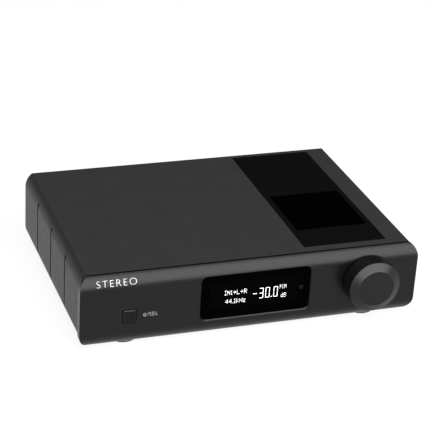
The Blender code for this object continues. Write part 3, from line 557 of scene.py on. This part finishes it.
def make_top_glass():
    """Polished glass strip in the roof, darker over the area that can be seen through."""
    left_margin, right_margin = 3.8 * MM, 3.3 * MM
    see_through = (back(35.2 * MM), back(87 * MM))
    low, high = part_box("top_glass")
    centre = ((low.x + high.x) / 2, (low.y + high.y) / 2)
    outline = rounded(high.x - low.x, high.y - low.y, 0.6 * MM, centre, 4)
    glass = shape("roof_glass", prism(outline, low.z, high.z, "Z"), (), 0.2 * MM, 3)
    made = zoned_glass("roof_black_glass", (0.0028, 0.0028, 0.003), (0.0002, 0.0002, 0.0002),
                       ("X", low.x + left_margin, high.x - right_margin), ("Y", *see_through), 0.05, 0.02)
    place(glass, "case", "black_glass", made, replaces=["top_glass"])


# ---------------------------------------------------------------- knob and button

def make_knob():
    """Turned knob with a straight side, a cone and a flat face, hollow behind."""
    low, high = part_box("volume_knob")
    outer, face_radius, hollow_radius = (high.x - low.x) / 2, 12.0 * MM, 14.2 * MM
    tip, skirt = low.y - KNOB.y, high.y - KNOB.y
    cone_depth, front_wall = 2.6 * MM, 5.5 * MM
    shoulder = tip + cone_depth
    profile = [(skirt, outer - 1.6 * MM), (skirt, outer - 0.4 * MM), (skirt - 0.4 * MM, outer)]
    profile += [(shoulder + 0.35 * MM, outer), (shoulder + 0.1 * MM, outer - 0.08 * MM)]
    profile += [(shoulder - 0.12 * MM, outer - 0.3 * MM), (tip + 0.2 * MM, face_radius + 0.4 * MM)]
    profile += [(tip + 0.05 * MM, face_radius + 0.1 * MM), (tip, face_radius - 0.2 * MM), (tip, 0.3 * MM)]
    hollow = rod(hollow_radius, tip + front_wall, skirt + PAST)
    knob = shape("knob_shell", turned(profile, "Y", 160), [cut(hollow)], sharp=20.0)
    knob.location = KNOB
    place(knob, "volume_knob", "black_anodised", KNOB_SIDE, KNOB_CONE, KNOB_FACE, replaces=["volume_knob"])
    for face in knob.data.polygons:
        if face.center.y < shoulder - 0.1 * MM:
            face.material_index = 2 if face.normal.y < -0.97 else 1


def make_button():
    """Soft-edged square cap with a wider collar behind the panel; its bevelled rim takes a lighter, shinier
    copy of the face finish, a painted highlight.
    """
    centre = (BUTTON.x, BUTTON.z)
    outline = rounded(*BUTTON_SIZE, BUTTON_CORNER, centre)
    collar = rounded(BUTTON_HIGH.x - BUTTON_LOW.x, BUTTON_HIGH.z - BUTTON_LOW.z, BUTTON_CORNER, centre)
    collar_low, cap_high = back(PANEL_THICKNESS + GAP), back(6.0 * MM)
    cap = shape("button_cap", prism(outline, BUTTON_LOW.y, cap_high, "Y"),
                [join(prism(collar, collar_low, BUTTON_HIGH.y, "Y"))], 0.45 * MM, 4)
    place(cap, "power_button", "black_anodised", BUTTON_FACE, BUTTON_RIM_HIGHLIGHT, replaces=["power_button"])
    # the bevel faces take the lighter, shinier finish: painted highlight
    for face in cap.data.polygons:
        if -0.97 < face.normal.y < -0.05:
            face.material_index = 1


# ---------------------------------------------------------------- display

def make_lens():
    """Smoked window, a little lighter where the display lies behind it."""
    low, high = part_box("oled_panel")
    side_margin, end_margin = 1.5 * MM, 2.5 * MM
    outline = rounded(LENS_HIGH.x - LENS_LOW.x, LENS_HIGH.z - LENS_LOW.z, WINDOW_CORNER - GAP, WINDOW_CENTRE)
    lens = shape("display_window", prism(outline, LENS_LOW.y, LENS_HIGH.y, "Y"), (), 0.1 * MM)
    made = zoned_glass("smoked_acrylic", (0.0001, 0.0001, 0.0001), (0.0004, 0.0004, 0.0004),
                       ("X", low.x + side_margin, high.x),
                       ("Z", low.z + end_margin, high.z - end_margin), 0.08, 0.01)
    place(lens, "case", "smoked_window", made, replaces=["display_lens"])


GLYPHS = {                                   # dot-matrix letters, a word to each row of dots
    "I": "111 010 010 010 010 010 111", "N": "10001 11001 11101 10111 10011 10001 10001",
    "1": "010 110 010 010 010 010 111", "4": "00010 00110 01010 10010 11111 00010 00010",
    "L": "10000 10000 10000 10000 10000 10000 11111", "R": "11110 10001 10001 11110 10100 10010 10001",
    "+": "00000 00100 00100 11111 00100 00100 00000", ">": "00000 00100 00110 11111 00110 00100 00000",
    ".": "0 0 0 0 0 0 1", "k": "1000 1000 1001 1010 1100 1010 1001",
    "H": "10001 10001 10001 11111 10001 10001 10001", "z": "0000 0000 1111 0001 0110 1000 1111",
    "P": "1110 1001 1001 1110 1000 1000 1000", "C": "0110 1001 1000 1000 1000 1001 0110",
    "M": "10001 11011 10101 10101 10001 10001 10001", "d": "0001 0001 0111 1001 1001 1001 0111",
    "B": "1110 1001 1001 1110 1001 1001 1110",
}
GLYPH_ROWS = 7
DOT_GAP = 0.45                               # share of a dot's cell that stays dark
SEGMENTS = {"3": "abcdg", "0": "abcdef", "-": "g"}   # a is the top bar, then clockwise, g the middle one


def add_flat(mesh, outline):
    """Adds a thin flat figure on the window's face."""
    add_loft(mesh, outline, outline, LENS_LOW.y, LENS_LOW.y - INK_THICK)


def add_bar(mesh, x, z):
    """Adds a thin rectangle on the window's face from its limits along X and Z."""
    add_flat(mesh, [(x[0], z[0]), (x[1], z[0]), (x[1], z[1]), (x[0], z[1])])


def dot_text(mesh, words, left, base, width, height):
    """Words in dot-matrix letters that fill width by height; dots side by side run together."""
    columns = sum(len(GLYPHS[letter].split()[0]) for letter in words) + len(words) - 1
    cell_x, cell_z = width / columns, height / GLYPH_ROWS
    for letter in words:
        rows = GLYPHS[letter].split()
        for row, bits in enumerate(rows):
            top = base + height - row * cell_z
            start = None
            for column, bit in enumerate(bits + "0"):
                if bit == "1" and start is None:
                    start = column
                if bit == "0" and start is not None:
                    add_bar(mesh, (left + start * cell_x, left + (column - DOT_GAP) * cell_x),
                            (top - cell_z, top - DOT_GAP * cell_z))
                    start = None
        left += (len(rows[0]) + 1) * cell_x


def segment_digit(mesh, digit, left, base, width, height, stroke):
    """A seven-segment digit made of flat bars with pointed ends."""
    half, mid, top = stroke / 2, base + height / 2, base + height
    near, far = left + half, left + width - half
    levels = {"a": top - half, "g": mid, "d": base + half}
    uprights = {"f": (near, mid, top), "b": (far, mid, top), "e": (near, base, mid), "c": (far, base, mid)}
    for name in SEGMENTS[digit]:
        if name in levels:
            z = levels[name]
            add_flat(mesh, [(near, z), (near + half, z + half), (far - half, z + half),
                            (far, z), (far - half, z - half), (near + half, z - half)])
        else:
            x, low, high = uprights[name]
            add_flat(mesh, [(x, low + half), (x + half, low + stroke), (x + half, high - stroke),
                            (x, high - half), (x - half, high - stroke), (x - half, low + stroke)])


def make_figures():
    """Input route, sample rate, level and format, as the display shows them."""
    low = PANEL_LOW.z
    mesh = bmesh.new()
    for words, left, up, width, height in (
            ("IN1>L+R", -18.9, 26.2, 14.8, 3.3), ("44.1kHz", -18.2, 20.0, 13.4, 3.3),
            ("PCM", 17.9, 26.6, 4.6, 3.0), ("dB", 19.0, 20.4, 3.7, 3.0)):
        dot_text(mesh, words, left * MM, low + up * MM, width * MM, height * MM)
    stroke = 0.3 * MM
    base, height = low + 21.3 * MM, 7.2 * MM
    for digit, left, width in (("-", -0.1, 3.0), ("3", 4.2, 2.75), ("0", 8.45, 2.75), ("0", 13.85, 2.75)):
        segment_digit(mesh, digit, left * MM, base, width * MM, height, stroke)
    add_bar(mesh, (12.25 * MM, 12.75 * MM), (base, base + 2 * stroke))
    bmesh.ops.recalc_face_normals(mesh, faces=mesh.faces)
    place(thing_of("display_figures", mesh), "case", "oled_glass", FIGURES)


def make_sensor():
    """Round infrared window at the right of the display."""
    radius, sensor_x = 1.5 * MM, 32.5 * MM
    mesh = turned([(0.0, radius), (-0.03 * MM, radius - 0.05 * MM), (-0.05 * MM, 0.2 * MM)], "Y", 32)
    sensor = shape("infrared_sensor", mesh)
    sensor.location = (sensor_x, LENS_LOW.y, middle("ir_receiver").z)
    place(sensor, "case", "black_plastic", SENSOR)


# ---------------------------------------------------------------- lettering

def lettering(words, size, spacing=1.0, thin=0.0):
    """A flat mesh of plain words in the XZ plane, starting at the origin, facing -Y."""
    curve = bpy.data.curves.new("words", "FONT")
    curve.body = words
    curve.size = size
    curve.space_character = spacing
    curve.resolution_u = 6
    curve.offset = -thin
    thing = bpy.data.objects.new("words", curve)
    bpy.context.scene.collection.objects.link(thing)
    bpy.context.view_layer.update()
    data = bpy.data.meshes.new_from_object(thing.evaluated_get(bpy.context.evaluated_depsgraph_get()))
    bpy.data.objects.remove(thing, do_unlink=True)
    bpy.data.curves.remove(curve)
    mesh = bmesh.new()
    mesh.from_mesh(data)
    bpy.data.meshes.remove(data)
    bmesh.ops.remove_doubles(mesh, verts=mesh.verts, dist=WELD)
    for vertex in mesh.verts:
        vertex.co = Vector((vertex.co.x, 0.0, vertex.co.y))
    return mesh


def limits(mesh):
    """Lowest and highest x, then z, of a mesh."""
    xs = [v.co.x for v in mesh.verts]
    zs = [v.co.z for v in mesh.verts]
    return min(xs), max(xs), min(zs), max(zs)


def fitted(mesh, left, right, base, top):
    """mesh scaled and moved to fill a rectangle in the XZ plane."""
    low_x, high_x, low_z, high_z = limits(mesh)
    wide, tall = (right - left) / (high_x - low_x), (top - base) / (high_z - low_z)
    for vertex in mesh.verts:
        vertex.co.x = left + (vertex.co.x - low_x) * wide
        vertex.co.z = base + (vertex.co.z - low_z) * tall
    return mesh


def risen_points(mesh):
    """Extrudes all of a flat mesh in place, and gives the new points."""
    risen = bmesh.ops.extrude_face_region(mesh, geom=list(mesh.faces))["geom"]
    return [v for v in risen if isinstance(v, bmesh.types.BMVert)]


def thicken(mesh):
    """Flat letters given the thickness of ink, towards -Y."""
    bmesh.ops.translate(mesh, verts=risen_points(mesh), vec=(0.0, -INK_THICK, 0.0))
    bmesh.ops.recalc_face_normals(mesh, faces=mesh.faces)
    return mesh


def make_wordmark():
    """The word STEREO on the panel's curved upper edge, left end."""
    left, right, height = -102.0 * MM, -76.6 * MM, 4.2 * MM
    start, slices = math.radians(13.3), 10
    radius, _ = edge_arc()
    mesh = fitted(lettering("STEREO", 5 * MM, 1.2, 0.1 * MM), left, right, 0.0, height)
    for i in range(1, slices):
        geometry = list(mesh.verts) + list(mesh.edges) + list(mesh.faces)
        bmesh.ops.bisect_plane(mesh, geom=geometry, plane_co=(0, 0, height * i / slices), plane_no=(0, 0, 1))
    outer = set(risen_points(mesh))
    for vertex in mesh.verts:
        angle = start + vertex.co.z / radius
        reach = radius + (INK_THICK if vertex in outer else -2 * INK_SUNK)
        vertex.co.y = back(radius) - reach * math.cos(angle)
        vertex.co.z = PANEL_HIGH.z - EDGE_RISE + reach * math.sin(angle)
    bmesh.ops.recalc_face_normals(mesh, faces=mesh.faces)
    place(thing_of("edge_word", mesh), "case", "white_plastic", INK)


def make_button_label():
    """A power sign and the letters /SEL beside the button."""
    base = PANEL_LOW.z + 18.3 * MM
    left, right, height = -69.4 * MM, -62.6 * MM, 2.5 * MM
    sign_x, sign_z = -70.9 * MM, base + 1.2 * MM
    radius, stroke, bar_half = 1.05 * MM, 0.28 * MM, 0.14 * MM
    ring_start, ring_end = 125, 415          # degrees: the ring is open at the top
    root = FRONT_Y + INK_SUNK
    depths = (root - INK_THICK, root)
    mesh = thicken(fitted(lettering("/SEL", 3 * MM, 1.1, 0.04 * MM), left, right, base, base + height))
    bmesh.ops.translate(mesh, verts=mesh.verts, vec=(0.0, root, 0.0))
    ring = arc((sign_x, sign_z), radius, ring_start, ring_end, 28)
    ring += arc((sign_x, sign_z), radius - stroke, ring_end, ring_start, 28)
    add_mesh(mesh, prism(ring, *depths, "Y"))
    add_mesh(mesh, block((sign_x - bar_half, sign_x + bar_half), depths,
                         (sign_z + 0.1 * MM, sign_z + 1.35 * MM)))
    place(thing_of("button_label", mesh), "case", "white_plastic", LABEL_INK)


# ---------------------------------------------------------------- feet and screws

def make_foot(end, side):
    """A turned metal ring, black near the ground, with a dished rubber pad let into it."""
    low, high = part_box(f"foot_ring_{end}_{side}")
    spot = ((low.x + high.x) / 2, (low.y + high.y) / 2, 0.0)
    radius, rest, top = (high.x - low.x) / 2, low.z, high.z
    bore, black_height = radius - 2.0 * MM, 0.9 * MM
    section = [(rest, bore), (rest, radius - 0.55 * MM), (rest + 0.12 * MM, radius - 0.25 * MM)]
    section += [(rest + 0.4 * MM, radius), (top - 0.9 * MM, radius), (top - 0.8 * MM, radius - 0.25 * MM)]
    section += [(top - 0.55 * MM, radius - 0.25 * MM), (top - 0.45 * MM, radius), (top, radius), (top, bore)]
    ring = shape(f"foot_ring_{end}_{side}_turned", turned(section, "Z", 96, ring=True))
    ring.location = spot
    place(ring, "case", "pale_brass", PALE_BRASS, BLACK_MOULDING, replaces=[f"foot_ring_{end}_{side}"])
    for face in ring.data.polygons:
        outside = math.hypot(face.center.x, face.center.y) > bore + 0.1 * MM
        if outside and face.center.z < rest + black_height:
            face.material_index = 1
    edge = bore - GAP
    section = [(top, edge), (0.5 * MM, edge), (0.2 * MM, edge - 0.15 * MM), (0.0, edge - 0.5 * MM)]
    section += [(0.0, edge - 2.2 * MM), (0.5 * MM, edge - 2.8 * MM), (0.5 * MM, 0.4 * MM)]
    pad = shape(f"foot_pad_{end}_{side}_moulded", turned(section, "Z", 72))
    pad.location = spot
    place(pad, "case", "rubber", RUBBER, replaces=[f"foot_pad_{end}_{side}"])


def make_rear_screw(level, side):
    """A button-head screw with a hexagonal recess."""
    name = f"rear_screw_{level}_{side}"
    low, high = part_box(name)
    shank, head_height, recess_depth = 1.3 * MM, 1.4 * MM, 0.9 * MM
    tip, base = high.y, high.y - head_height
    profile = [(low.y, shank), (base, shank), (base, 2.7 * MM), (base + 0.5 * MM, 2.65 * MM)]
    profile += [(base + 0.9 * MM, 2.4 * MM), (base + 1.2 * MM, 2.0 * MM), (tip, 1.5 * MM)]
    recess = prism(hexagon(1.2 * MM), tip - recess_depth, tip + PAST, "Y")
    screw = shape(f"{name}_head", turned(profile, "Y", 48), [cut(recess)])
    screw.location = ((low.x + high.x) / 2, 0.0, (low.z + high.z) / 2)
    place(screw, "case", "tinned_steel", STEEL, replaces=[name])


def make_base_screw(end, side):
    """A countersunk screw with a crossed recess."""
    name = f"base_screw_{end}_{side}"
    low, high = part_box(name)
    shank, head, cross_length, cross_width = 1.3 * MM, 2.5 * MM, 2.8 * MM, 0.6 * MM
    profile = [(low.z, head - 0.15 * MM), (low.z + 0.12 * MM, head), (low.z + 0.4 * MM, head)]
    profile += [(low.z + 1.4 * MM, shank), (high.z, shank)]
    depths = (low.z - PAST, low.z + 0.9 * MM)
    long, thin = (-cross_length / 2, cross_length / 2), (-cross_width / 2, cross_width / 2)
    changes = [cut(block(long, thin, depths)), cut(block(thin, long, depths))]
    screw = shape(f"{name}_head", turned(profile, "Z", 48), changes)
    screw.location = ((low.x + high.x) / 2, (low.y + high.y) / 2, 0.0)
    place(screw, "case", "tinned_steel", STEEL, replaces=[name])


# ---------------------------------------------------------------- rear sockets and print

def make_xlr(side):
    """Balanced output: flange with two screws, round bore with a latch slot and a key."""
    low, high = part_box(f"xlr_{side}_shell")
    spot = ((low.x + high.x) / 2, 0.0, (low.z + high.z) / 2)
    width, height = high.x - low.x, high.z - low.z
    face, under = high.y, REAR_Y + GAP
    barrel, bore, screw_inset, screw_hole = 11.6 * MM, 9.7 * MM, 3.4 * MM, 1.9 * MM
    latch_half, key_half = 2.6 * MM, 0.8 * MM
    changes = [join(rod(barrel, low.y, face - 0.5 * MM, 72)),
               cut(rod(bore, low.y + 2 * MM, face + PAST, 72)),
               cut(block((-latch_half, latch_half), (face - 6 * MM, face + PAST), (8.8 * MM, 11.0 * MM))),
               join(block((-key_half, key_half), (low.y + 1 * MM, face - 2 * MM), (-10.5 * MM, -8.9 * MM)))]
    corner = (width / 2 - screw_inset, height / 2 - screw_inset)
    for sign in (-1, 1):
        hole = rod(screw_hole, face - 1 * MM, face + PAST)
        changes.append(cut(at(hole, (sign * corner[0], 0.0, sign * corner[1]))))
    flange = prism(rounded(width, height, 3 * MM), under, face, "Y")
    shell = shape(f"balanced_{side}_shell", flange, changes, 0.2 * MM, sharp=COARSE_CREASE)
    shell.location = spot
    place(shell, "case", "nickel", NICKEL, replaces=[f"xlr_{side}_shell"])
    profile = [(face - 1 * MM, 1.6 * MM), (face - 0.4 * MM, 1.6 * MM), (face - 0.1 * MM, 1.3 * MM),
               (face, 0.9 * MM)]
    for sign, level in ((-1, "low"), (1, "high")):
        recess = prism(hexagon(0.75 * MM), face - 0.6 * MM, face + PAST, "Y")
        head = shape(f"balanced_{side}_screw_{level}", turned(profile, "Y", 40), [cut(recess)])
        head.location = (spot[0] + sign * corner[0], 0.0, spot[2] + sign * corner[1])
        place(head, "case", "tinned_steel", STEEL)


def make_phono(name, insulator, slot):
    """Phono socket: gold barrel with a grooved rim and a nut, round a moulded insulator and its contact."""
    low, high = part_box(f"{name}_socket")
    spot = ((low.x + high.x) / 2, 0.0, (low.z + high.z) / 2)
    barrel, flange, bore, nut_radius = 4.15 * MM, 4.9 * MM, 3.4 * MM, 6.4 * MM
    tip, nut = high.y, (REAR_Y + GAP, REAR_Y + 2.3 * MM)
    profile = [(low.y, flange), (nut[1] - 1 * MM, flange), (nut[1] - 1 * MM, barrel)]
    profile += [(tip - 3.0 * MM, barrel), (tip - 2.9 * MM, barrel - 0.15 * MM)]
    profile += [(tip - 2.6 * MM, barrel - 0.15 * MM), (tip - 2.5 * MM, barrel), (tip - 0.5 * MM, barrel)]
    profile += [(tip - 0.15 * MM, barrel - 0.12 * MM), (tip, barrel - 0.4 * MM)]
    changes = [join(prism(hexagon(nut_radius, turn=30.0), *nut, "Y")),
               cut(rod(bore, low.y + 2 * MM, tip + PAST, 64))]
    socket = shape(f"{name}_barrel", turned(profile, "Y", 72), changes, 0.12 * MM, sharp=COARSE_CREASE)
    socket.location = spot
    place(socket, "case", "gold_plate", GOLD, replaces=[f"{name}_socket"])
    low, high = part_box(f"{name}_insulator")
    tip, radius = high.y, 3.1 * MM
    profile = [(low.y, radius), (tip - 0.2 * MM, radius), (tip, radius - 0.2 * MM), (tip, 2.3 * MM)]
    profile += [(tip - 0.5 * MM, 2.0 * MM), (tip - 0.5 * MM, 0.4 * MM)]
    hole = rod(1.6 * MM, low.y + 3 * MM, tip + PAST)
    core = shape(f"{name}_core", turned(profile, "Y", 64), [cut(hole)])
    core.location = spot
    place(core, "case", slot, insulator, replaces=[f"{name}_insulator"])
    sleeve = [(tip - 4 * MM, 1.2 * MM), (tip - 0.9 * MM, 1.2 * MM), (tip - 0.9 * MM, 1.55 * MM),
              (tip - 4 * MM, 1.55 * MM)]
    contact = shape(f"{name}_contact", turned(sleeve, "Y", 40, ring=True))
    contact.location = spot
    place(contact, "case", "gold_plate", GOLD)


def rear_words(mesh, words, x, z, height):
    """Adds plain printed words, centred on x and z and read from behind."""
    printed = thicken(lettering(words, height * 1.4))
    low_x, high_x, low_z, high_z = limits(printed)
    centre_x, centre_z = (low_x + high_x) / 2, (low_z + high_z) / 2
    for v in printed.verts:
        v.co = Vector((x - (v.co.x - centre_x), REAR_Y - INK_SUNK - v.co.y, z + v.co.z - centre_z))
    add_mesh(mesh, printed)


def make_rear_print():
    """Letters for left and right, and IN and OUT, beside the sockets."""
    above, below, tall = CASE_HIGH.z - 5.8 * MM, CASE_LOW.z + 7.6 * MM, 2.2 * MM
    mesh = bmesh.new()
    for words, node, z in (("OUT L", "xlr_left_shell", above), ("OUT R", "xlr_right_shell", above)):
        rear_words(mesh, words, middle(node).x, z, tall)
    for words, node in (("L", "rca_left_socket"), ("R", "rca_right_socket")):
        rear_words(mesh, words, middle(node).x + 8.4 * MM, middle(node).z, tall)
    rear_words(mesh, "IN 1", middle("coaxial_socket").x, above, tall)
    for words, node in (("IN 2", "optical_socket"), ("IN 3", "usb_socket"), ("IN 4", "link_socket")):
        rear_words(mesh, words, middle(node).x, below, tall)
    for words, aside in (("IN", 5 * MM), ("OUT", -5 * MM)):
        rear_words(mesh, words, middle("trigger_jacks").x + aside, below, tall)
    bmesh.ops.recalc_face_normals(mesh, faces=mesh.faces)
    place(thing_of("rear_print", mesh), "case", "white_plastic", INK)


def dress_cad_nodes():
    """Each CAD node that still shows takes the finish of its own slot."""
    slots = {entry["node"]: entry["material_slot"] for entry in frame["record"]["subparts"]}
    for name, thing in frame["nodes"].items():
        if not thing.hide_render:
            thing.data.materials.clear()
            thing.data.materials.append(SLOT_FINISH[slots[name]])


make_front_panel()
make_upper_shell()
make_top_glass()
make_knob()
make_button()
make_lens()
make_figures()
make_sensor()
make_wordmark()
make_button_label()
for foot_end in ("front", "rear"):
    for foot_side in ("left", "right"):
        make_foot(foot_end, foot_side)
        make_base_screw(foot_end, foot_side)
for screw_level in ("low", "high"):
    for screw_side in ("left", "right"):
        make_rear_screw(screw_level, screw_side)
make_xlr("left")
make_xlr("right")
make_phono("rca_left", WHITE_MOULDING, "white_plastic")
make_phono("rca_right", RED_MOULDING, "red_plastic")
make_phono("coaxial", BLACK_MOULDING, "black_plastic")
make_rear_print()
dress_cad_nodes()


# ---------------------------------------------------------------- stage, light and camera

FLOOR_HALF, FLOOR_TOP, FLOOR_BASE = 6.0, -0.2 * MM, -20 * MM
WHITE = (1.0, 1.0, 1.0, 1.0)


def area_light(name, place_at, size, power):
    """A rectangular lamp aimed at the object."""
    data = bpy.data.lights.new(name, "AREA")
    data.shape = "RECTANGLE"
    data.size, data.size_y = size
    data.energy = power
    lamp = bpy.data.objects.new(name, data)
    lamp.location = place_at
    lamp.rotation_euler = (-Vector(place_at)).to_track_quat("-Z", "Y").to_euler()
    bpy.context.scene.collection.objects.link(lamp)


def make_stage():
    """Pale floor that lights itself a little, a dim white world and two soft lamps."""
    reach = (-FLOOR_HALF, FLOOR_HALF)
    floor = thing_of("floor", block(reach, reach, (FLOOR_BASE, FLOOR_TOP)))
    made, _, shader = nodes_of("pale_floor")
    shader.inputs["Base Color"].default_value = (0.08, 0.08, 0.08, 1.0)
    shader.inputs["Roughness"].default_value = 0.9
    shader.inputs["Specular IOR Level"].default_value = 0.0
    shader.inputs["Emission Color"].default_value = WHITE
    shader.inputs["Emission Strength"].default_value = 0.9
    floor.data.materials.append(made)
    world = bpy.data.worlds.new("studio")
    world.use_nodes = True
    background = world.node_tree.nodes["Background"]
    background.inputs["Color"].default_value = WHITE
    background.inputs["Strength"].default_value = 0.02
    bpy.context.scene.world = world
    area_light("front_softbox", (0.3, -1.4, 0.85), (2.7, 2.0), 112.0)
    area_light("overhead", (-0.1, 0.0, 1.6), (1.4, 0.8), 18.0)


def make_camera():
    """A long lens to the front left, looking down on the device, with a slight roll."""
    turn, tilt, roll = math.radians(19.96), math.radians(25.96), math.radians(3.43)
    target, distance = Vector((1.3 * MM, 7.4 * MM, 43.5 * MM)), 1.07
    ahead = Vector((math.sin(turn) * math.cos(tilt), math.cos(turn) * math.cos(tilt), -math.sin(tilt)))
    data = bpy.data.cameras.new("camera")
    data.lens, data.sensor_width = 133.75, 36.0
    camera = bpy.data.objects.new("camera", data)
    camera.rotation_mode = "QUATERNION"
    camera.location = target - ahead * distance
    camera.rotation_quaternion = ahead.to_track_quat("-Z", "Y") @ Quaternion((0, 0, 1), roll)
    bpy.context.scene.collection.objects.link(camera)
    bpy.context.scene.camera = camera


make_stage()
make_camera()
bpy.context.scene.view_settings.view_transform = "Standard"
